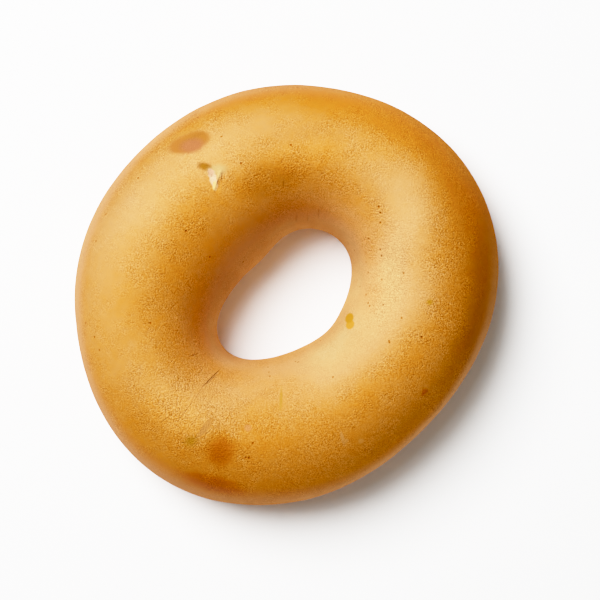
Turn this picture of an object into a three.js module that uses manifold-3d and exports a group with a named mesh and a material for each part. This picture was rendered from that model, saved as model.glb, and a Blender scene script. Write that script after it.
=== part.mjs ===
// A plain bagel, boiled and then baked, lying on the flat side that it was baked on.
//
// It is one ring of bread. From above, its outer edge is a rounded oval that is a little
// three-sided, and its hole is a slanted oval with one flatter side. Cut across, the ring is a
// dome on a flat foot: it is widest low down, lowest of all beside the hole, and its flanks run up
// to a round crown. The dough was rolled by hand, so the height changes a little round the ring.
// Beside the crown, the skin is torn open in one small nick.
//
// Millimetres, +Z up. The origin is on the surface that it rests on, under the middle of its
// outline. Azimuths are in degrees around +Z, counted from +X towards +Y.

import * as THREE from "three";
import { mergeVertices } from "three/addons/utils/BufferGeometryUtils.js";
import Module from "manifold-3d";

// The outer edge, seen from above: a circle with a few slow waves around it.
const OUTER_RADIUS = 54.5;
const OUTER_WAVES = [
  { lobes: 1, swell: 1.0, peak: 128 },
  { lobes: 2, swell: 2.8, peak: 43 },
  { lobes: 3, swell: 0.9, peak: 15 },
  { lobes: 5, swell: 0.13, peak: 19 },
  { lobes: 6, swell: 0.15, peak: -12 },
];

// The hole at its narrowest, seen from above: a slanted ellipse, flatter on one side.
const HOLE_HALF_LENGTH = 21.0;
const HOLE_HALF_WIDTH = 12.8;
const HOLE_SLANT = 43.5;
const HOLE_CENTRE = new THREE.Vector2(0.4, -0.4);
const HOLE_WAVES = [
  { lobes: 3, swell: 1.0, peak: -38 },
  { lobes: 4, swell: 0.2, peak: 0 },
  { lobes: 5, swell: 0.2, peak: 4 },
  { lobes: 6, swell: 0.17, peak: 24 },
];

// The height of the crown above the surface that the bagel rests on.
const CROWN_HEIGHT = 35;
const CROWN_WAVES = [
  { lobes: 1, swell: 1.0, peak: 140 },
  { lobes: 2, swell: 0.5, peak: 20 },
  { lobes: 3, swell: 0.4, peak: 75 },
];

// The section across the ring. The heights of its widest points, at the rim and in the throat of
// the hole, and how far a round underside would sink below the flat foot are shares of the crown's
// height. The crown's shift outwards is a share of the ring's half width. A fullness of 2 is an
// ellipse; more is squarer.
const RIM_HEIGHT = 0.32;
const THROAT_HEIGHT = 0.14;
const SINK = 0.06;
const CROWN_SHIFT = 0.03;
const RIM_FULLNESS = 1.85;
const THROAT_FULLNESS = 2.0;
const UNDERSIDE_FULLNESS = 2.5;

// The nick: a short, narrow tear, placed by its azimuth and by its angle up the ring's section.
const NICK_AZIMUTH = 122;
const NICK_SECTION_ANGLE = 84;
const NICK_SLANT = 104;
const NICK_HALF_SIZE = new THREE.Vector3(2.8, 1.1, 0.9);

// How finely the loaf and the nick are faceted.
const RING_STEPS = 112;
const SECTION_STEPS = 44;
const NICK_STEPS = 16;

const radians = THREE.MathUtils.degToRad;
const wasm = await Module();
wasm.setup();

// How far the waves add up to at an azimuth.
function swellAt(waves, azimuth) {
  return waves.reduce(
    (sum, wave) => sum + wave.swell * Math.cos(wave.lobes * (azimuth - radians(wave.peak))),
    0,
  );
}

function outerEdge(azimuth) {
  const radius = OUTER_RADIUS + swellAt(OUTER_WAVES, azimuth);
  return new THREE.Vector2(Math.cos(azimuth), Math.sin(azimuth)).multiplyScalar(radius);
}

function holeEdge(azimuth) {
  const fromSlant = azimuth - radians(HOLE_SLANT);
  const ellipse =
    (HOLE_HALF_LENGTH * HOLE_HALF_WIDTH) /
    Math.hypot(HOLE_HALF_WIDTH * Math.cos(fromSlant), HOLE_HALF_LENGTH * Math.sin(fromSlant));
  const radius = ellipse + swellAt(HOLE_WAVES, azimuth);
  return new THREE.Vector2(Math.cos(azimuth), Math.sin(azimuth))
    .multiplyScalar(radius)
    .add(HOLE_CENTRE);
}

// How far a superellipse reaches at an angle, given the angle's cosine or sine.
function reach(share, fullness) {
  return Math.sign(share) * Math.abs(share) ** (2 / fullness);
}

// A point on the loaf. The section angle runs round the ring's section: 0 is the outer edge,
// a quarter turn is the crown, a half turn is the hole, and three quarters the underside.
function loafPoint(azimuth, sectionAngle) {
  const outer = outerEdge(azimuth);
  const hole = holeEdge(azimuth);
  const middle = outer.clone().add(hole).multiplyScalar(0.5);
  const halfWidth = outer.clone().sub(hole).multiplyScalar(0.5);
  const crown = CROWN_HEIGHT + swellAt(CROWN_WAVES, azimuth);

  const above = Math.sin(sectionAngle) >= 0;
  const rimSide = Math.cos(sectionAngle) >= 0;
  const widest = crown * (rimSide ? RIM_HEIGHT : THROAT_HEIGHT);
  const topFullness = rimSide ? RIM_FULLNESS : THROAT_FULLNESS;
  const fullness = above ? topFullness : UNDERSIDE_FULLNESS;
  const across = reach(Math.cos(sectionAngle), fullness);
  const up = reach(Math.sin(sectionAngle), fullness);
  const rise = above ? crown - widest : widest + SINK * crown;
  const shift = above ? CROWN_SHIFT * (1 - across ** 2) : 0;

  const plan = middle.add(halfWidth.multiplyScalar(across + shift));
  return new THREE.Vector3(plan.x, plan.y, Math.max(0, widest + rise * up));
}

// A torus whose vertices are moved onto the loaf. Its uv says where each vertex is on the ring.
function loafGeometry() {
  const ring = new THREE.TorusGeometry(OUTER_RADIUS, CROWN_HEIGHT / 2, SECTION_STEPS, RING_STEPS);
  const { position, uv } = ring.attributes;
  for (let i = 0; i < position.count; i += 1) {
    const point = loafPoint(2 * Math.PI * uv.getX(i), 2 * Math.PI * uv.getY(i));
    position.setXYZ(i, point.x, point.y, point.z);
  }
  return ring;
}

// A squashed ball, half sunk in the skin.
function nickGeometry() {
  const place = loafPoint(radians(NICK_AZIMUTH), radians(NICK_SECTION_ANGLE));
  return new THREE.SphereGeometry(1, NICK_STEPS, NICK_STEPS / 2)
    .scale(NICK_HALF_SIZE.x, NICK_HALF_SIZE.y, NICK_HALF_SIZE.z)
    .rotateZ(radians(NICK_SLANT))
    .translate(place.x, place.y, place.z);
}

function toSolid(geometry) {
  geometry.deleteAttribute("normal");
  geometry.deleteAttribute("uv");
  const { attributes, index } = mergeVertices(geometry);
  const vertProperties = new Float32Array(attributes.position.array);
  const triVerts = new Uint32Array(index.array);
  return new wasm.Manifold(new wasm.Mesh({ numProp: 3, vertProperties, triVerts }));
}

function toGeometry(solid) {
  const { vertProperties, triVerts } = solid.getMesh();
  const geometry = new THREE.BufferGeometry();
  geometry.setAttribute("position", new THREE.BufferAttribute(vertProperties, 3));
  geometry.setIndex(new THREE.BufferAttribute(triVerts, 1));
  return geometry;
}

// The nicked loaf, moved so that the middle of its outline is on the Z axis.
function bagelGeometry() {
  const nicked = toGeometry(toSolid(loafGeometry()).subtract(toSolid(nickGeometry())));
  nicked.computeBoundingBox();
  const centre = nicked.boundingBox.getCenter(new THREE.Vector3());
  return nicked.translate(-centre.x, -centre.y, 0);
}

const crust = new THREE.MeshStandardMaterial({ color: 0xd08f3a, roughness: 0.5, metalness: 0 });
const bagel = new THREE.Mesh(bagelGeometry(), crust);
bagel.name = "bagel";

const part = new THREE.Group();
part.add(bagel);
export default part;
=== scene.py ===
# %% [markdown]
# A plain bagel lies on a white table, and is looked at from straight above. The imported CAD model
# gives its size and its main form. This lesson keeps that frame as it is, models the crust over it
# as a new mesh, and gives the crust the browned and grainy skin of boiled and baked dough. The
# meshes are in metres. The skin's pattern and marks are in millimetres, and are placed by the
# pixels of the picture that show them.

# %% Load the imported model
import math

import bmesh
import bpy
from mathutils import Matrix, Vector


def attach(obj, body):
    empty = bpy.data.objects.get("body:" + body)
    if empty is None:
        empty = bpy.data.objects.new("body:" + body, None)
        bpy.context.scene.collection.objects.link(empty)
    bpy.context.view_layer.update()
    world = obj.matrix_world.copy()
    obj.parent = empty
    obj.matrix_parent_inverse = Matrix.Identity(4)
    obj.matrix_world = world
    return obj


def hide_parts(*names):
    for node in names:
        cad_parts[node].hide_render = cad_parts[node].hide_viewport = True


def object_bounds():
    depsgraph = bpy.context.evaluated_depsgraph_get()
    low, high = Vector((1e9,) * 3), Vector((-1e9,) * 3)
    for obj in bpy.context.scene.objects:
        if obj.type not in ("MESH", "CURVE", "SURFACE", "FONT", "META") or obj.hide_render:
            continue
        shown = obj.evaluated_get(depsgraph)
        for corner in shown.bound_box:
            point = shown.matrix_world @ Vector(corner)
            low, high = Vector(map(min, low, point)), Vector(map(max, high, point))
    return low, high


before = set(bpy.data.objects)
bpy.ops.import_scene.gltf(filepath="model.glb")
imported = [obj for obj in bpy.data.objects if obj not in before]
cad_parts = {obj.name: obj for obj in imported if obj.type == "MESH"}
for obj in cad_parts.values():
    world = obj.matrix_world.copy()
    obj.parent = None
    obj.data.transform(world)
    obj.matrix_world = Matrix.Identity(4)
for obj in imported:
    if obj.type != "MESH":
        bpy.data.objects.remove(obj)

cad_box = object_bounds()
print("CAD box, mm:", [[round(1000 * value, 1) for value in corner] for corner in cad_box])

# %% [markdown]
# The camera hangs high above the bagel and looks straight down, with a long lens, so that the
# outline is hardly foreshortened. It could be moved by eye until the view fits. Here its height is
# worked out from one measurement instead: how many of the picture's pixels the bagel's width of
# 110 mm covers. It hangs a little to one side, as the bagel isn't quite in the picture's middle.

# %% Hang the camera over the table
PICTURE_SIZE = 600
BAGEL_WIDTH = 0.110
BAGEL_WIDTH_IN_PIXELS = 424.1
OUTLINE_MIDDLE = (287.0, 295.4)
OUTLINE_HEIGHT = 0.012
LENS = 100
SENSOR = 36

pixel = BAGEL_WIDTH / BAGEL_WIDTH_IN_PIXELS
camera_height = OUTLINE_HEIGHT + PICTURE_SIZE * pixel * LENS / SENSOR
camera_place = Vector(
    (
        (PICTURE_SIZE / 2 - OUTLINE_MIDDLE[0]) * pixel,
        (OUTLINE_MIDDLE[1] - PICTURE_SIZE / 2) * pixel,
        camera_height,
    )
)
bpy.ops.object.camera_add(location=camera_place, rotation=(0, 0, 0))
camera = bpy.context.object
camera.data.lens = LENS
camera.data.sensor_width = SENSOR
bpy.context.scene.camera = camera
print(f"camera {camera_height:.3f} m above the table")

# %% [markdown]
# The light is one large round lamp, high up at the upper left, a little over half as wide as it is
# far away, so the shadow of the ring is short and soft. Its power goes with the square of its
# distance, so that it can be moved without a change of the light on the bagel. A faint even light
# from all round fills the shadows. The table is over-exposed in such pictures, so a second lamp,
# which is weaker, a little wider and a little higher up, adds light to the table alone.

# %% Set up the lamps
TARGET = Vector((0, 0, 0.015))
LAMP_AZIMUTH = math.radians(135)
LAMP_ELEVATION = math.radians(54)
LAMP_DISTANCE = 1.0
LAMP_WIDTH = 0.6
LAMP_LIGHT = 1.05
LAMP_POWER = LAMP_LIGHT * (math.pi * LAMP_DISTANCE) ** 2
TABLE_LAMP_ELEVATION = math.radians(58.5)
TABLE_LAMP_WIDTH = 0.7
TABLE_LAMP_SHARE = 0.5
TABLE_LAMP_POWER = TABLE_LAMP_SHARE * LAMP_POWER
FILL = 0.092
FILL_COLOUR = (1, 0.98, 0.85, 1)


def add_lamp(name, width, power, elevation):
    """A round lamp that shines on the bagel from the upper left."""
    towards_lamp = Vector(
        (
            math.cos(elevation) * math.cos(LAMP_AZIMUTH),
            math.cos(elevation) * math.sin(LAMP_AZIMUTH),
            math.sin(elevation),
        )
    )
    bpy.ops.object.light_add(
        type="AREA",
        location=TARGET + LAMP_DISTANCE * towards_lamp,
        rotation=towards_lamp.to_track_quat("Z", "Y").to_euler(),
    )
    lamp = bpy.context.object
    lamp.name = name
    lamp.data.shape = "DISK"
    lamp.data.size = width
    lamp.data.energy = power
    return lamp


key_lamp = add_lamp("key_lamp", LAMP_WIDTH, LAMP_POWER, LAMP_ELEVATION)
table_lamp = add_lamp("table_lamp", TABLE_LAMP_WIDTH, TABLE_LAMP_POWER, TABLE_LAMP_ELEVATION)

world = bpy.data.worlds.new("studio")
world.use_nodes = True
world.node_tree.nodes["Background"].inputs["Color"].default_value = FILL_COLOUR
world.node_tree.nodes["Background"].inputs["Strength"].default_value = FILL
bpy.context.scene.world = world
print("lamp at", [round(value, 2) for value in key_lamp.location])

# %% [markdown]
# A camera's picture has a soft shoulder: the brighter a spot already is, the less more light adds
# to it. The view's curve gives that with one formula, 1 - exp(-exposure x light), and takes a
# little off the darkest tones, which keeps the browns rich.

# %% Shape the picture's tones
EXPOSURE = 2.94
BLACK_LEVEL = 0.004
WHITE_LEVEL = 2.5
CURVE_STOPS = (0.02, 0.05, 0.09, 0.14, 0.2, 0.28, 0.38, 0.5, 0.7)
ALL_COLOURS = 3

view = bpy.context.scene.view_settings
view.view_transform = "Standard"
view.look = "None"
view.use_curve_mapping = True
tones = view.curve_mapping
tones.black_level = (BLACK_LEVEL,) * 3
tones.white_level = (WHITE_LEVEL,) * 3
tones.extend = "HORIZONTAL"
curve = tones.curves[ALL_COLOURS]
for stop in CURVE_STOPS:
    curve.points.new(stop, 1 - math.exp(-EXPOSURE * WHITE_LEVEL * stop))
tones.update()
print("tone curve of", len(curve.points), "points")

# %% [markdown]
# The table is a stage, not part of the bagel. A backdrop that curves up at the back would hide the
# horizon, but the camera looks straight down, so a plain pale plane, much wider than the view, does.

# %% Lay the table
TABLE_WIDTH = 6
TABLE_WHITE = (0.95, 0.95, 0.95, 1)

bpy.ops.mesh.primitive_plane_add(size=TABLE_WIDTH)
table = bpy.context.object
table.name = "table"
table_paint = bpy.data.materials.new("table_white")
table_paint.use_nodes = True
table_shader = table_paint.node_tree.nodes["Principled BSDF"]
table_shader.inputs["Base Color"].default_value = TABLE_WHITE
table_shader.inputs["Roughness"].default_value = 1
table_shader.inputs["Specular IOR Level"].default_value = 0
table.data.materials.append(table_paint)

only_table = bpy.data.collections.new("only_table")
only_table.objects.link(table)
table_lamp.light_linking.receiver_collection = only_table
print("table", TABLE_WIDTH, "m wide")

# %% [markdown]
# The bagel was a rope of dough, joined into a ring, so the crust starts as a torus. It could be
# shaped by hand, but the CAD node already has the true form in flat facets. So a thin torus is set
# inside a merged copy of it, and its points move straight out until they meet that form. Then it is
# smoothed a little to lose the facets, and subdivided until it is fine enough to carry dents. Both
# make a round form a little thinner, so at the end it is plumped up by as much.

# %% Wrap a ring of dough onto the CAD form
RING_SEGMENTS = 120
SECTION_SEGMENTS = 44
RING_RADIUS = 0.0355
DOUGH_RADIUS = 0.006
DOUGH_HEIGHT = 0.0145
MERGE_DISTANCE = 1e-6
SMOOTHING = 0.5
SMOOTHING_ROUNDS = 1
SUBDIVISIONS = 2
PLUMP = 0.00022


def deselect():
    """Lets go of every object, so that the next operator acts on its own piece alone."""
    bpy.ops.object.select_all(action="DESELECT")


def finish_modifier(piece, kind, **settings):
    """Adds a modifier to a piece and applies it at once."""
    bpy.context.view_layer.objects.active = piece
    modifier = piece.modifiers.new(kind.lower(), kind)
    for name, value in settings.items():
        setattr(modifier, name, value)
    bpy.ops.object.modifier_apply(modifier=modifier.name)


def merged_copy(node):
    """A copy of a CAD node with its loose triangles joined into one skin."""
    deselect()
    bpy.context.view_layer.objects.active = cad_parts[node]
    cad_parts[node].select_set(True)
    bpy.ops.object.duplicate()
    bpy.ops.object.mode_set(mode="EDIT")
    bpy.ops.mesh.select_all(action="SELECT")
    bpy.ops.mesh.remove_doubles(threshold=MERGE_DISTANCE)
    bpy.ops.object.mode_set(mode="OBJECT")
    return bpy.context.object


form = merged_copy("bagel")
deselect()
bpy.ops.mesh.primitive_torus_add(
    major_segments=RING_SEGMENTS,
    minor_segments=SECTION_SEGMENTS,
    major_radius=RING_RADIUS,
    minor_radius=DOUGH_RADIUS,
    location=(0, 0, DOUGH_HEIGHT),
)
bagel = bpy.context.object
bagel.name = "crust"
bpy.ops.object.transform_apply(location=True)
finish_modifier(bagel, "SHRINKWRAP", target=form, wrap_method="PROJECT")
finish_modifier(bagel, "SMOOTH", factor=SMOOTHING, iterations=SMOOTHING_ROUNDS)
finish_modifier(bagel, "SUBSURF", levels=SUBDIVISIONS, render_levels=SUBDIVISIONS)
finish_modifier(bagel, "DISPLACE", strength=PLUMP, mid_level=0)
bpy.data.objects.remove(form)
print("crust of", len(bagel.data.polygons), "faces")

# %% [markdown]
# Dough is never quite even. Slow swells, about as wide as a thumb, are left by the hands, and a
# finer unevenness by the bubbles under the skin. Both are cloud textures that press the crust in a
# little more than they raise it. The foot that it was baked on is then pressed flat again, and the
# whole crust is pressed in by a hair, so that it stays inside the box of the CAD model.

# %% Leave the marks of the hands
SWELLS = {"noise_scale": 0.02, "depth": 0.0004}
BUBBLES = {"noise_scale": 0.006, "depth": 0.00012}
INWARD_SHARE = 0.55
FOOT_HEIGHT = 0.0009
FOOT_NORMAL = -0.97
BOX_MARGIN = 0.00001
X_AXIS = 0
Y_AXIS = 1


def dent_all_over(piece, name, noise_scale, depth):
    """Makes a piece uneven by a depth, mostly inwards, as a cloud pattern says."""
    pattern = bpy.data.textures.new(name, "CLOUDS")
    pattern.noise_scale = noise_scale
    finish_modifier(piece, "DISPLACE", texture=pattern, strength=depth, mid_level=INWARD_SHARE)
    bpy.data.textures.remove(pattern)


def select_where(piece, test):
    """Selects the vertices of a piece that pass a test, in edit mode."""
    bpy.ops.mesh.select_mode(type="VERT")
    bpy.ops.mesh.select_all(action="DESELECT")
    cage = bmesh.from_edit_mesh(piece.data)
    for vertex in cage.verts:
        vertex.select = test(vertex)
    cage.select_flush_mode()
    bmesh.update_edit_mesh(piece.data)


def share_inside_box(piece, axis):
    """By how much a piece has to shrink along an axis to stay inside the CAD model's box."""
    reach = max(abs(vertex.co[axis]) for vertex in piece.data.vertices)
    return min(1, (cad_box[1][axis] - BOX_MARGIN) / reach)


dent_all_over(bagel, "swells", **SWELLS)
dent_all_over(bagel, "bubbles", **BUBBLES)
bpy.ops.object.mode_set(mode="EDIT")
select_where(bagel, lambda v: v.co.z < FOOT_HEIGHT and v.normal.z < FOOT_NORMAL)
bpy.ops.transform.resize(value=(1, 1, 0), center_override=(0, 0, 0))
bpy.ops.object.mode_set(mode="OBJECT")
x_share, y_share = (share_inside_box(bagel, axis) for axis in (X_AXIS, Y_AXIS))
bpy.ops.object.mode_set(mode="EDIT")
bpy.ops.mesh.select_all(action="SELECT")
bpy.ops.transform.resize(value=(x_share, y_share, 1), center_override=(0, 0, 0))
bpy.ops.object.mode_set(mode="OBJECT")
print("lowest point", round(min(v.co.z for v in bagel.data.vertices), 6))
print("pressed in to", round(x_share, 4), "and", round(y_share, 4), "of its size")

# %% [markdown]
# At the upper left the skin is torn: a thin lip of crumb stands up beside a furrow, and a dimple
# lies behind it. They could be sculpted by hand. Here the mesh is cut finer round them, and each is
# one line of vertices that is moved with a soft falloff, as the proportional edit does. A line from
# the camera through a pixel of the picture hits the crust where that pixel shows it, so each mark
# sits where the picture has it.

# %% Press the dimple and tear the skin beside it
MILLIMETRE = 0.001
NICK_MIDDLE = (212, 177)
FINE_REACH = 0.0055
FINE_CUTS = 2
SOFTENING_ROUNDS = 4
LINE_STEP = 0.0001
LINE_REACH = 0.0002
PRESSES = (
    # pixels along the line, height in millimetres, reach in millimetres
    (((201, 166), (209, 168.5)), -0.4, 1.2),
    (((219.5, 171), (219, 177), (216.5, 184), (214, 190)), 0.18, 0.9),
    (((222.5, 175), (220.5, 182), (217, 190)), -0.26, 0.8),
    (((211, 171), (213, 179), (213.5, 186)), -0.22, 0.9),
)


def crust_at(spot):
    """The point and the normal of the crust that a pixel of the picture shows."""
    right = (spot[0] - PICTURE_SIZE / 2) / PICTURE_SIZE * SENSOR
    down = (spot[1] - PICTURE_SIZE / 2) / PICTURE_SIZE * SENSOR
    line = Vector((right, -down, -LENS)).normalized()
    hit, point, normal, _ = bagel.ray_cast(camera_place, line)
    if not hit:
        raise ValueError(f"pixel {spot} misses the crust")
    return point, normal


def points_along(spots):
    """Points of the crust along a line through pixels of the picture."""
    points = [crust_at(spot)[0] for spot in spots]
    for start, end in zip(points[:-1], points[1:]):
        steps = math.ceil((end - start).length / LINE_STEP)
        points.extend(start.lerp(end, step / steps) for step in range(steps))
    return points


def near_nick(vertex):
    """Whether a vertex is in the patch that is cut finer."""
    return (vertex.co - nick_place).length < FINE_REACH


def press(spots, height, reach):
    """Raises or presses the crust along a line near the nick."""
    points = points_along(spots)
    up = crust_at(spots[0])[1]

    def on_line(vertex):
        return near_nick(vertex) and min((vertex.co - point).length for point in points) < LINE_REACH

    bpy.ops.object.mode_set(mode="EDIT")
    select_where(bagel, on_line)
    bpy.ops.transform.translate(
        value=height * MILLIMETRE * up,
        use_proportional_edit=True,
        proportional_edit_falloff="SMOOTH",
        proportional_size=reach * MILLIMETRE,
    )
    bpy.ops.object.mode_set(mode="OBJECT")


nick_place = crust_at(NICK_MIDDLE)[0]
bpy.ops.object.mode_set(mode="EDIT")
select_where(bagel, near_nick)
bpy.ops.mesh.subdivide(number_cuts=FINE_CUTS)
bpy.ops.mesh.vertices_smooth(factor=SMOOTHING, repeat=SOFTENING_ROUNDS)
bpy.ops.object.mode_set(mode="OBJECT")
for spots, height, reach in PRESSES:
    press(spots, height, reach)
print("crust now has", sum(len(face.vertices) - 2 for face in bagel.data.polygons), "triangles")

# %% [markdown]
# A material is a sum of many small patterns. Written as nodes alone that is hard to read, so a wire
# stands for a socket, and sums of wires add Math nodes by themselves. Any other node comes from
# one method, which takes the node's type, its settings and what goes into its sockets.


# %% Write shader maths as sums
class Wire:
    """A socket of a material. Sums of wires add the Math nodes that work them out."""

    def __init__(self, tree, socket=None):
        self.tree = tree
        self.socket = socket

    def node(self, kind, settings=None, sockets=None, output=0):
        """A new node's output, after its settings and its sockets are filled in."""
        made = self.tree.nodes.new(kind)
        for name, value in (settings or {}).items():
            if name == "stops":
                fill_ramp(made.color_ramp, value)
            else:
                setattr(made, name, value)
        for name, value in (sockets or {}).items():
            if isinstance(value, Wire):
                self.tree.links.new(value.socket, made.inputs[name])
            else:
                made.inputs[name].default_value = value
        return Wire(self.tree, made.outputs[output])

    def maths(self, operation, *values):
        """A Math node whose first value is this wire."""
        sockets = dict(enumerate((self, *values)))
        return self.node("ShaderNodeMath", {"operation": operation}, sockets)

    def __add__(self, other):
        return self.maths("ADD", other)

    def __sub__(self, other):
        return self.maths("SUBTRACT", other)

    def __rsub__(self, other):
        return self.node("ShaderNodeMath", {"operation": "SUBTRACT"}, {0: other, 1: self})

    def __mul__(self, other):
        return self.maths("MULTIPLY", other)

    __radd__ = __add__
    __rmul__ = __mul__


def fill_ramp(ramp, stops):
    """Gives a colour ramp its stops, each a position and a colour."""
    while len(ramp.elements) < len(stops):
        ramp.elements.new(1)
    for element, (position, colour) in zip(ramp.elements, stops):
        element.position = position
        element.color = (*colour, 1)


def vector_maths(first, operation, second, output=0):
    """A Vector Math node of a wire and a second wire, vector or scale."""
    second_socket = "Scale" if operation == "SCALE" else 1
    sockets = {0: first, second_socket: second}
    return first.node("ShaderNodeVectorMath", {"operation": operation}, sockets, output)


def noise(place, size, detail=2.0, roughness=0.5):
    """A soft random pattern from 0 to 1, with grains of a size in millimetres."""
    sockets = {"Vector": place, "Scale": 1 / size, "Detail": detail, "Roughness": roughness}
    return place.node("ShaderNodeTexNoise", {"normalize": True}, sockets, "Fac")


def fade(wire, start, end, low=0.0, high=1.0):
    """A smooth step from low to high while a wire goes from start to end."""
    sockets = {"Value": wire, "From Min": start, "From Max": end, "To Min": low, "To Max": high}
    return wire.node("ShaderNodeMapRange", {"interpolation_type": "SMOOTHSTEP"}, sockets)


print("wires are ready")

# %% [markdown]
# Masks say where the crust differs. A broad one follows the ring, so the torus's own UV map gives
# two angles: the azimuth round the ring, from 0 at the right of the picture over 90 at its top, and
# the way across the ring, from 0 at the rim over 90 at the crown to 180 in the hole. A local one is
# a soft oval round a spot of the picture. Both could be painted by hand, but a few angles and sizes
# are shorter, and easy to change. Real edges are ragged, so noise shifts the places that an oval
# reads.

# %% Find places on the crust
FULL_TURN = 360
CROWN = 90
MIDDLE_OF_FOOT = -90
MIDDLE_OF_MAP = 0.5
MIDDLE_OF_NOISE = 0.5
WANDER_DETAIL = 3.0
# the grain and the reach of a ragged edge, in millimetres
WIDE_WANDER = (2.5, 1.4)
FINE_WANDER = (0.9, 0.4)
# how much further an oval reaches up and down than sideways, in millimetres, for steep walls
MASK_DEPTH = 2

crust = bpy.data.materials.new("crust")
crust.use_nodes = True
# this wire has no socket yet, and the first nodes come from it
wires = Wire(crust.node_tree)
place = vector_maths(wires.node("ShaderNodeTexCoord", output="Object"), "SCALE", 1 / MILLIMETRE)
ring_map = {"Vector": wires.node("ShaderNodeTexCoord", output="UV")}
round_share = wires.node("ShaderNodeSeparateXYZ", None, ring_map, "X")
across_share = wires.node("ShaderNodeSeparateXYZ", None, ring_map, "Y")
across = FULL_TURN * (across_share - MIDDLE_OF_MAP)
across = across + FULL_TURN * across.maths("LESS_THAN", MIDDLE_OF_FOOT)


def wandering(size, reach):
    """Coordinates that wander by up to a reach, both in millimetres, for ragged edges."""
    sockets = {"Vector": place, "Scale": 1 / size, "Detail": WANDER_DETAIL}
    drift = wires.node("ShaderNodeTexNoise", None, sockets, "Color")
    centred = vector_maths(drift, "SUBTRACT", (MIDDLE_OF_NOISE,) * 3)
    return vector_maths(place, "ADD", vector_maths(centred, "SCALE", 2 * reach))


ragged = wandering(*WIDE_WANDER)
slightly_ragged = wandering(*FINE_WANDER)


def round_the_ring(values):
    """A wire that changes along the ring, from pairs of an azimuth and a value."""
    ordered = sorted(((azimuth / FULL_TURN + MIDDLE_OF_MAP) % 1, value) for azimuth, value in values)
    (first, first_value), (last, last_value) = ordered[0], ordered[-1]
    seam_value = last_value + (first_value - last_value) * (1 - last) / (1 - last + first)
    closed = [(0, seam_value), *ordered, (1, seam_value)]
    # a ramp holds nothing below 0, so it gets the heights above the lowest value
    lowest = min(value for _, value in closed)
    stops = [(share, (value - lowest,) * 3) for share, value in closed]
    ramp = wires.node("ShaderNodeValToRGB", {"stops": stops}, {"Fac": round_share}, "Color")
    return ramp + lowest


def oval(middle, half_length, half_width, turn=0.0, softness=1.0, coordinates=ragged):
    """A soft oval mask round a pixel of the picture, its half sizes in millimetres."""
    sockets = {
        "Vector": coordinates,
        "Location": crust_at(middle)[0] / MILLIMETRE,
        "Rotation": (0, 0, math.radians(turn)),
        "Scale": (half_length, half_width, max(half_length, half_width) + MASK_DEPTH),
    }
    inside = wires.node("ShaderNodeMapping", {"vector_type": "TEXTURE"}, sockets)
    far = wires.node("ShaderNodeVectorMath", {"operation": "LENGTH"}, {0: inside}, "Value")
    return fade(far, 1 + softness / 2, 1 - softness / 2)


print("masks are ready")

# %% [markdown]
# The colour of a crust is its browning: pale where the dough was shielded, gold over the rest, and
# brown where the oven caught it. So the browning is one number, which picks a colour from a ramp
# further on. It is nearly even, but for one pale band that winds round the ring: it runs inside the
# crown at the lower right, crosses it, and runs outside it at the upper left. The band is partly the
# crust's own paleness and partly a painted sheen, on the slopes that face the lamp. A table says how
# the band changes along the ring, and a smooth step fades it out across the ring.

# %% Brown the crust, but for the pale band
EVEN_BROWNING = 0.97
PALE_AND_SHEEN_BAND = (
    # azimuth, way across, paleness (partly painted sheen), reach
    (0, 125, 0.75, 48),
    (15, 124, 0.67, 47),
    (30, 103, 0.70, 40),
    (45, 90, 0.52, 40),
    (60, 92, 0.28, 36),
    (75, 81, 0.18, 32),
    (90, 78, 0.32, 38),
    (105, 78, 0.44, 44),
    (120, 82, 0.50, 46),
    (135, 77, 0.50, 42),
    (150, 78, 0.55, 40),
    (165, 78, 0.38, 38),
    (180, 77, 0.22, 36),
    (200, 82, 0.22, 36),
    (215, 92, 0.24, 40),
    (230, 106, 0.34, 44),
    (242, 120, 0.38, 54),
    (255, 144, 0.31, 62),
    (270, 144, 0.38, 56),
    (285, 147, 0.54, 50),
    (300, 149, 0.82, 46),
    (315, 148, 0.84, 44),
    (330, 144, 0.82, 46),
    (345, 138, 0.80, 50),
)


def distance_from(middle):
    """How many degrees across the ring a place is from a middle line."""
    return (across - middle).maths("ABSOLUTE")


middles = [(azimuth, middle / FULL_TURN) for azimuth, middle, _, _ in PALE_AND_SHEEN_BAND]
depths = [(azimuth, paleness) for azimuth, _, paleness, _ in PALE_AND_SHEEN_BAND]
reaches = [(azimuth, reach / FULL_TURN) for azimuth, _, _, reach in PALE_AND_SHEEN_BAND]
off_middle = distance_from(FULL_TURN * round_the_ring(middles))
off_band = off_middle.maths("DIVIDE", FULL_TURN * round_the_ring(reaches))
# the pale band is partly the crust's own paleness, partly painted sheen where the slopes face the
# lamp
browning = EVEN_BROWNING - round_the_ring(depths) * fade(off_band, 1, 0)
print("pale band wired")

# %% [markdown]
# On the outer side, the crust is browner at the right and paler at the left. That is partly its own
# tone and partly painted light and shade: the side that faces the lamp is paler, the side in shade
# browner. The lowest strip that shows, along the rim, is paler all round, as a painted sheen of the
# slanted skin. The two angles of an edge say where, across the ring, a table's values begin and
# where they hold in full.

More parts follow.
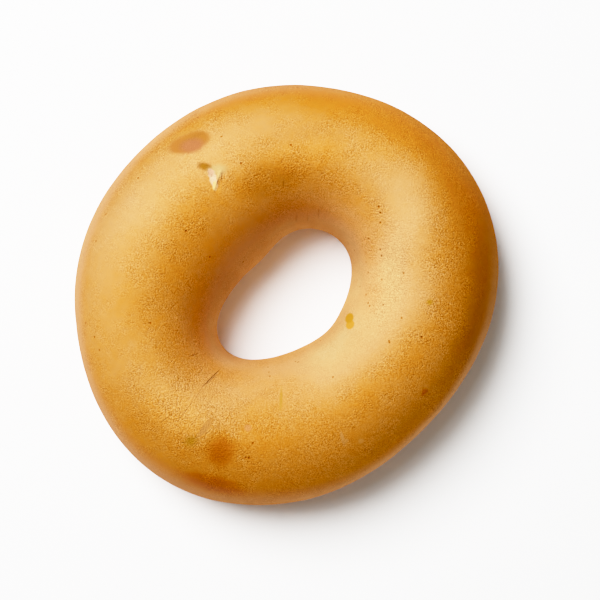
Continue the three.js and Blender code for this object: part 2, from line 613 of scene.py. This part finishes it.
# %% Turn the outer side browner and paler
OUTER_SIDE = (
    # azimuth, paleness, partly painted light and shade
    (0, -0.19),
    (25, -0.24),
    (50, -0.16),
    (75, -0.13),
    (97, -0.09),
    (118, -0.03),
    (142, 0.2),
    (157, 0.37),
    (172, 0.3),
    (195, 0.16),
    (217, 0.02),
    (250, -0.1),
    (290, -0.06),
    (330, -0.06),
)
OUTER_SIDE_EDGE = (85, 50)
RIM_LINE = (
    # azimuth, paleness of painted sheen, darkness of painted shade, tint of painted sheen
    (0, 0.42, 0.08, 0.15),
    (20, 0.12, 0.10, 0.06),
    (60, 0.14, 0.10, 0.1),
    (90, 0.34, 0.12, 0.3),
    (130, 0.52, -0.05, 0.32),
    (150, 0.58, 0.05, 0.32),
    (200, 0.6, 0.06, 0.38),
    (232, 0.58, 0.0, 0.42),
    (262, 0.28, -0.06, 0.42),
    (300, 0.53, -0.08, 0.35),
    (345, 0.56, -0.03, 0.25),
)
RIM_LINE_EDGE = (45, 22)


def column(table, which):
    """The azimuths of a table, each with the value in one of its columns."""
    return [(row[0], row[which]) for row in table]


# partly painted light and shade: paler towards the lamp, browner on the side in shade
browning = browning - round_the_ring(OUTER_SIDE) * fade(across, *OUTER_SIDE_EDGE)
# painted sheen: the slanted rim is paler all round
browning = browning - round_the_ring(column(RIM_LINE, 1)) * fade(across, *RIM_LINE_EDGE)
print("outer side wired")

# %% [markdown]
# Towards the hole, the dough shielded itself from the oven, so the inner side is a little paler, and
# the steep wall of the throat is palest of all.

# %% Make the inner side and the throat paler
INNER_SIDE = (
    # azimuth, paleness
    (0, 0.15),
    (15, 0.38),
    (60, 0.36),
    (82, 0.12),
    (110, 0.06),
    (172, 0.0),
    (195, 0.15),
    (217, 0.22),
    (240, 0.12),
    (262, 0.0),
    (300, 0.0),
    (345, 0.06),
)
INNER_SIDE_EDGE = (105, 138)
THROAT = (
    # azimuth, paleness, darkness of painted shade
    (0, 0.78, 0.2),
    (30, 0.3, 0.4),
    (60, 0.6, 0.24),
    (90, 1.02, 0.3),
    (130, 0.92, 0.33),
    (165, 0.9, 0.46),
    (200, 0.9, 0.32),
    (225, 0.56, 0.18),
    (250, 0.34, 0.1),
    (290, 0.64, 0.1),
    (330, 0.72, 0.13),
)
THROAT_EDGE = (140, 178)

browning = browning - round_the_ring(INNER_SIDE) * fade(across, *INNER_SIDE_EDGE)
browning = browning - round_the_ring(column(THROAT, 1)) * fade(across, *THROAT_EDGE)
print("inner side wired")

# %% [markdown]
# How light or dark a crust is doesn't follow from its browning alone. A darker browning would also
# be redder, so the shade is a number of its own, which the colour is multiplied by. The outer side
# is darker, most of all at the right and at the upper left, and the strip along the outline is
# shaded once more. Both are painted shade.

# %% Paint shade on the outer side
EVEN_SHADE = 0.99
OUTER_SHADE = (
    # azimuth, darkness of painted shade
    (0, 0.34),
    (15, 0.28),
    (30, 0.08),
    (45, -0.02),
    (67, -0.05),
    (90, 0.13),
    (120, 0.21),
    (150, 0.29),
    (180, 0.18),
    (210, 0.1),
    (240, 0.09),
    (262, -0.06),
    (300, -0.03),
    (325, 0.12),
    (345, 0.36),
)
OUTER_SHADE_EDGE = (88, 42)

# painted shade on the outer side
shade = EVEN_SHADE - round_the_ring(OUTER_SHADE) * fade(across, *OUTER_SHADE_EDGE)
# painted shade along the outline
shade = shade - round_the_ring(column(RIM_LINE, 2)) * fade(across, *RIM_LINE_EDGE)
print("outer shade wired")

# %% [markdown]
# The crown and the inner side are lighter, by painted light. The wall of the throat is darker again,
# most of all at its left and its upper right, by painted shade.

# %% Paint light on the inner side and the crown, and shade in the throat
INNER_LIGHT = (
    # azimuth, lightness of painted light
    (0, 0.25),
    (30, 0.21),
    (60, 0.17),
    (90, 0.09),
    (112, 0.1),
    (150, 0.19),
    (180, 0.1),
    (195, 0.1),
    (212, 0.21),
    (228, 0.2),
    (270, 0.1),
    (300, 0.06),
    (330, 0.04),
)
INNER_LIGHT_EDGE = (100, 140)
CROWN_LIGHT = (
    # azimuth, lightness of painted light
    (0, 0.06),
    (15, 0.12),
    (40, 0.05),
    (60, 0.02),
    (95, 0.02),
    (112, 0.15),
    (140, 0.15),
    (158, 0.1),
    (180, 0.03),
    (200, 0.06),
    (218, 0.16),
    (235, 0.19),
    (255, 0.12),
    (275, 0.03),
    (300, 0.03),
    (340, 0.02),
)
CROWN_LIGHT_MIDDLE = 101
CROWN_LIGHT_REACH = 32

near_crown = fade(distance_from(CROWN_LIGHT_MIDDLE), CROWN_LIGHT_REACH, 0)
# painted light on the crown and the inner side, painted shade in the throat
shade = shade + round_the_ring(CROWN_LIGHT) * near_crown
shade = shade + round_the_ring(INNER_LIGHT) * fade(across, *INNER_LIGHT_EDGE)
shade = shade - round_the_ring(column(THROAT, 2)) * fade(across, *THROAT_EDGE)
print("inner shade wired")

# %% [markdown]
# In a few places, the crust is a little browner, darker or lighter than the bands make it. Each of
# them is one soft oval, with half sizes in millimetres and a turn in degrees.

# %% Add the local patches
PATCHES = (
    # middle, half length, half width, turn, softness, browning, shade
    ((385, 185), 15, 11, 140, 1.0, 0.0, 0.22),
    ((272, 178), 8, 4.5, 20, 1.0, 0.1, -0.2),
    ((300, 155), 9, 3.5, 8, 1.0, 0.0, 0.24),
    ((165, 340), 9, 6, 70, 1.0, 0.0, 0.1),
    ((172, 408), 9, 5, 135, 1.0, 0.0, 0.22),
    ((477, 280), 13, 3.2, 80, 1.6, 0.05, -0.06),
    ((454, 358), 9, 2.6, 56, 1.6, 0.05, -0.02),
    ((220, 450), 3.6, 3.1, 90, 1.3, 0.42, -0.24),
    ((213, 484), 7.0, 2.2, -18, 1.4, 0.4, -0.14),
    ((424, 391), 0.9, 0.7, 60, 0.8, 0.5, -0.1),
)

for middle, half_length, half_width, turn, softness, browner, lighter in PATCHES:
    mask = oval(middle, half_length, half_width, turn, softness)
    browning = browning + browner * mask
    shade = shade + lighter * mask
print(len(PATCHES), "patches")

# %% [markdown]
# The picture doesn't show the foot. It lay on the oven's tray, so it is browned evenly, and what the
# bands and the ovals say fades out towards it.

# %% Bake the foot
FOOT_EDGE = (112, 160)
FOOT_BROWNING = 1.0
FOOT_SHADE = 0.95

foot = fade(distance_from(CROWN), *FOOT_EDGE)
browning = browning + foot * (FOOT_BROWNING - browning)
shade = shade + foot * (FOOT_SHADE - shade)
print("foot wired")

# %% [markdown]
# Close up, the crust is grainy: it has tiny blisters from the boil, strong where it is golden and
# weak on the smooth pale skin. They are far too fine for the mesh, so one noise pattern makes each
# a bump that is browner and darker than the skin round it. They are unevenly spread, so a slower
# pattern and a few ovals thin them out. Bumps darken the crust a little as a whole, which the shade
# makes up for. Coarser and fainter noise gives specks, blotches and clouds.

# %% Make the crust grainy
BLISTER_SIZE = 0.34
BLISTER_ROUGHNESS = 0.6
BLISTER_BROWNING = 0.7
BLISTER_SHADE = 1.25
BUMP_LOSS = 0.066
PALE_TO_GOLDEN = (0.35, 0.75)
GRAIN_ON_PALE_AND_GOLDEN = (0.6, 1.4)
SPREAD_SIZE = 5
SPREAD_EDGE = (0.3, 0.7)
SPREAD_RANGE = (0.4, 1.2)
SPECK_SIZE = 1.1
SPECK_SHADE = 0.2
BLOTCH_SIZE = 2.2
BLOTCH_DETAIL = 3.0
BLOTCH_BROWNING = 0.25
CLOUD_SIZE = 9
CLOUD_BROWNING = 0.2
GRAINY_PATCHES = (
    # middle, half length, half width, turn, how much grainier
    ((388, 275), 13, 5, 80, 1.6),
    ((195, 400), 14, 11, 50, 0.5),
    ((440, 290), 12, 6, 90, 0.3),
    ((362, 242), 4, 2, 130, 1.2),
    ((105, 300), 22, 7, 95, -0.5),
    ((300, 98), 22, 4, 0, -0.5),
    ((170, 465), 14, 4, 135, -0.6),
    ((485, 280), 18, 4, 85, -0.8),
    ((285, 122), 12, 4, 0, -0.4),
    ((238, 230), 14, 5, 45, -0.4),
)


def grain(size, **settings):
    """A random pattern that is 0 on average, with grains of a size in millimetres."""
    return noise(place, size, **settings) - MIDDLE_OF_NOISE


golden = fade(browning, *PALE_TO_GOLDEN, *GRAIN_ON_PALE_AND_GOLDEN)
spread = fade(noise(place, SPREAD_SIZE), *SPREAD_EDGE, *SPREAD_RANGE)
for middle, half_length, half_width, turn, more in GRAINY_PATCHES:
    spread = spread + more * oval(middle, half_length, half_width, turn)
graininess = golden * spread
skin_height = grain(BLISTER_SIZE, roughness=BLISTER_ROUGHNESS)
blisters = skin_height * graininess
browning = browning + BLISTER_BROWNING * blisters
shade = shade - BLISTER_SHADE * blisters + BUMP_LOSS * graininess * graininess
browning = browning + BLOTCH_BROWNING * grain(BLOTCH_SIZE, detail=BLOTCH_DETAIL)
shade = shade + SPECK_SHADE * grain(SPECK_SIZE)
browning = browning + CLOUD_BROWNING * grain(CLOUD_SIZE)
print("grain wired")

# %% [markdown]
# Pinpricks are where bubbles burst: dark, round and sunk in. Their crust is browner, and painted
# shade darkens them further. Hairlines are creases of the skin, darkened by painted shade. They are
# too fine for the mesh as well, so they are bumps, placed at the pixels that show them. One field of
# distances, to the nearest pinprick, makes all of those at once.

# %% Scatter the pinpricks and the creases
PINPRICKS = (
    (366, 262), (368, 272.5), (360, 286.5), (366, 294.6), (368, 303), (369.6, 306), (381.7, 279.6),
    (403.6, 273), (381.4, 256), (380.4, 222.7), (354.5, 250.4), (369, 239), (383, 305), (389, 341),
    (320.5, 340.5), (221.6, 136.5), (241, 163.3), (197.9, 117.2), (130, 166), (138, 178), (106, 214),
    (96, 241), (291, 145), (210, 257), (422, 337), (243, 262), (269, 372), (270, 376), (298, 362),
    (253, 443), (249, 458), (186, 231), (85.7, 323), (94.5, 337), (99.3, 350), (150.4, 323),
    (245.7, 457.5), (295.5, 361.4), (268, 367), (380.3, 249.7), (380.3, 213), (378.7, 207),
    (389.4, 342.4), (401.7, 318), (333, 377),
)
PINPRICK_REACH = 0.38
PINPRICK_CORE = 0.1
PINPRICK_BROWNING = 0.6
PINPRICK_SHADE = 0.45
PINPRICK_DEPTH = 0.5
CREASES = (
    # from, to, half width in millimetres, strength
    ((220.5, 369.1), (204.5, 385.5), 0.17, 2.0),
    ((203, 388), (195.5, 399.7), 0.14, 0.4),
    ((193, 402), (178.9, 420.8), 0.14, 0.5),
    ((198, 354), (189, 357), 0.2, 0.8),
    ((211, 430), (205, 436), 0.2, 0.5),
    ((200, 414), (190, 428), 0.14, 0.4),
    ((170, 416), (160, 424), 0.14, 0.5),
    ((214, 396), (206, 408), 0.14, 0.4),
    ((232, 372), (222, 384), 0.14, 0.3),
    ((258, 386), (257, 396), 0.2, 0.3),
    ((266, 386), (265, 395), 0.2, 0.3),
    ((297, 212), (296, 223), 0.25, 1.0),
    ((308, 214), (308, 223), 0.25, 0.7),
    ((319, 208), (319, 219), 0.25, 1.0),
    ((284, 180), (284, 188), 0.2, 0.8),
    ((222.5, 174), (222.5, 181), 0.2, 0.8),
    # a painted shadow line beside the torn lip
    ((219.5, 178), (215.5, 190.5), 0.22, 0.8),
)
CREASE_SHADE = 0.15
CREASE_DEPTH = 0.5


def distance_to(spot):
    """How far the crust is from the point that a pixel shows, in millimetres."""
    return vector_maths(place, "DISTANCE", crust_at(spot)[0] / MILLIMETRE, "Value")


def stroke(first, last, half_width):
    """A thin soft line on the crust between two pixels of the picture."""
    ahead = Vector(last) - Vector(first)
    middle = (Vector(first) + Vector(last)) / 2
    half_length = ahead.length / 2 * pixel / MILLIMETRE
    turn = math.degrees(math.atan2(-ahead.y, ahead.x))
    return oval(middle, half_length, half_width, turn, coordinates=place)


nearest = distance_to(PINPRICKS[0])
for spot in PINPRICKS[1:]:
    nearest = nearest.maths("MINIMUM", distance_to(spot))
dents = fade(nearest, PINPRICK_REACH, PINPRICK_CORE)
browning = browning + PINPRICK_BROWNING * dents
# painted shade in the pits, on top of their browner crust
shade = shade - PINPRICK_SHADE * dents
skin_height = skin_height - PINPRICK_DEPTH * dents
for first, last, half_width, strength in CREASES:
    crease = strength * stroke(first, last, half_width)
    # painted shade in the crease
    shade = shade - CREASE_SHADE * crease
    skin_height = skin_height - CREASE_DEPTH * crease
print(len(PINPRICKS), "pinpricks and", len(CREASES), "creases")

# %% [markdown]
# A crust has one family of colours, from cream over gold to brown. Two of them could be mixed, but a
# crust changes its hue as it browns, so a ramp has eight. The browning picks one of its colours, and
# the shade makes it lighter or darker.

# %% Colour the crust by its browning
RAMP_LOW = -0.4
RAMP_HIGH = 1.8
CRUST_COLOURS = (
    # browning, colour
    (-0.2, (0.70, 0.40, 0.150)),
    (0.0, (0.656, 0.331, 0.114)),
    (0.3, (0.608, 0.272, 0.090)),
    (0.5, (0.576, 0.240, 0.066)),
    (0.8, (0.528, 0.184, 0.029)),
    (1.0, (0.496, 0.144, 0.012)),
    (1.3, (0.440, 0.095, 0.008)),
    (1.7, (0.360, 0.060, 0.006)),
)


def ramp_share(level):
    """Where on the ramp a level of browning is, from 0 to 1."""
    return (level - RAMP_LOW) * (1 / (RAMP_HIGH - RAMP_LOW))


stops = [(ramp_share(level), colour) for level, colour in CRUST_COLOURS]
browned = wires.node("ShaderNodeValToRGB", {"stops": stops}, {"Fac": ramp_share(browning)}, "Color")
colour = vector_maths(browned, "SCALE", shade)
print("ramp of", len(stops), "crust colours")

# %% [markdown]
# A few marks have colours that the ramp doesn't hold: the brown scald and the torn, creamy skin at
# the upper left, with a painted highlight on its lip and painted shade in its dimple, a few soft
# stains, and crisp flakes. They are ovals that the colour goes over to. So is a slight pink painted
# sheen along the slanted rim, which runs nearly all round.

# %% Lay the stains, the flakes and the painted rim sheen over it
# the sockets of a Mix node that are in use when it mixes colours
MIX_FACTOR = 0
MIX_BASE = 6
MIX_TINT = 7
MIXED_COLOUR = 2
STAINS = (
    # middle, half length, half width, turn, softness, colour
    ((187, 143.5), 5.1, 2.5, 10, 0.5, (0.345, 0.105, 0.018)),
    ((196, 138), 3.5, 2.0, 0, 0.6, (0.345, 0.108, 0.016)),
    ((192, 145.5), 2.9, 1.8, 5, 1.0, (0.37, 0.110, 0.036)),
    # the dimple: a brown stain, darkened more by painted shade in its hollow
    ((206, 167), 2.0, 0.9, -17, 1.0, (0.33, 0.115, 0.010)),
    ((217, 170), 2.3, 1.3, 10, 1.2, (0.62, 0.34, 0.11)),
    ((213, 178.5), 2.3, 0.85, 106, 0.6, (0.95, 0.57, 0.30)),
    # the next two are a painted highlight on the ridge of the torn lip
    ((219, 174.5), 1.2, 0.4, 72, 1.0, (0.82, 0.46, 0.15)),
    ((214.8, 185.5), 1.2, 0.5, 85, 0.6, (0.95, 0.52, 0.16)),
    ((210.8, 172.5), 0.9, 0.7, 110, 0.9, (0.72, 0.35, 0.19)),
    ((430, 302), 0.7, 0.6, 0, 1.4, (0.50, 0.19, 0.012)),
    ((248, 428), 0.9, 0.8, 0, 0.8, (0.66, 0.22, 0.055)),
    ((191, 441), 1.7, 1.2, 30, 1.6, (0.46, 0.162, 0.011)),
    ((281, 399), 2.8, 0.35, 88, 1.0, (0.49, 0.2, 0.024)),
    ((205, 428), 2.6, 0.8, 55, 1.0, (0.60, 0.22, 0.045)),
)
FLAKES = (
    # middle, half length, half width, turn, softness, colour
    ((350, 324.5), 1.2, 1.25, 0, 0.35, (0.60, 0.235, 0.024)),
    ((349.3, 318), 1.3, 1.35, 0, 0.4, (0.50, 0.200, 0.014)),
    ((342.5, 438), 1.7, 0.45, 105, 0.6, (0.62, 0.23, 0.045)),
    ((345.5, 441), 0.8, 0.5, 20, 0.6, (0.60, 0.21, 0.035)),
    ((361, 441), 0.7, 0.6, 0, 0.8, (0.58, 0.2, 0.03)),
)
RIM_SHEEN_EDGE = (54, 24)
RIM_SHEEN_COLOUR = (0.50, 0.18, 0.09)


def tinted(base, amount, tint):
    """A colour that goes over to a tint where the amount is 1."""
    sockets = {MIX_FACTOR: amount, MIX_BASE: base, MIX_TINT: (*tint, 1)}
    return wires.node("ShaderNodeMix", {"data_type": "RGBA"}, sockets, MIXED_COLOUR)


for *outline, tint in STAINS:
    colour = tinted(colour, oval(*outline, slightly_ragged), tint)
for *outline, tint in FLAKES:
    colour = tinted(colour, oval(*outline, place), tint)
# painted sheen along the slanted rim, pinker than the crust
rim_sheen = round_the_ring(column(RIM_LINE, 3)) * fade(across, *RIM_SHEEN_EDGE)
colour = tinted(colour, rim_sheen * (1 - foot), RIM_SHEEN_COLOUR)
print(len(STAINS), "stains and", len(FLAKES), "flakes")

# %% [markdown]
# The shader takes the colour and the bumps. A glossy crust would have highlights, but the picture
# shows next to none, so the shader's specular level is set to 0.

# %% Put the skin on the crust
ROUGHNESS = 0.55
BUMP_DISTANCE = 0.00035

relief = {"Strength": graininess, "Distance": BUMP_DISTANCE, "Height": skin_height}
bumps = wires.node("ShaderNodeBump", None, relief)
crust_shader = crust.node_tree.nodes["Principled BSDF"]
crust.node_tree.links.new(colour.socket, crust_shader.inputs["Base Color"])
crust.node_tree.links.new(bumps.socket, crust_shader.inputs["Normal"])
crust_shader.inputs["Roughness"].default_value = ROUGHNESS
crust_shader.inputs["Specular IOR Level"].default_value = 0
bagel.data.materials.clear()
bagel.data.materials.append(crust)
print("crust material of", len(crust.node_tree.nodes), "nodes")

# %% [markdown]
# The crust takes the place of the CAD bagel, moves with its only body, and wears the crust
# material. Its facets are shaded smooth, as bread has none.

# %% Hand the crust over
for polygon in bagel.data.polygons:
    polygon.use_smooth = True
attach(bagel, "root")
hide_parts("bagel")
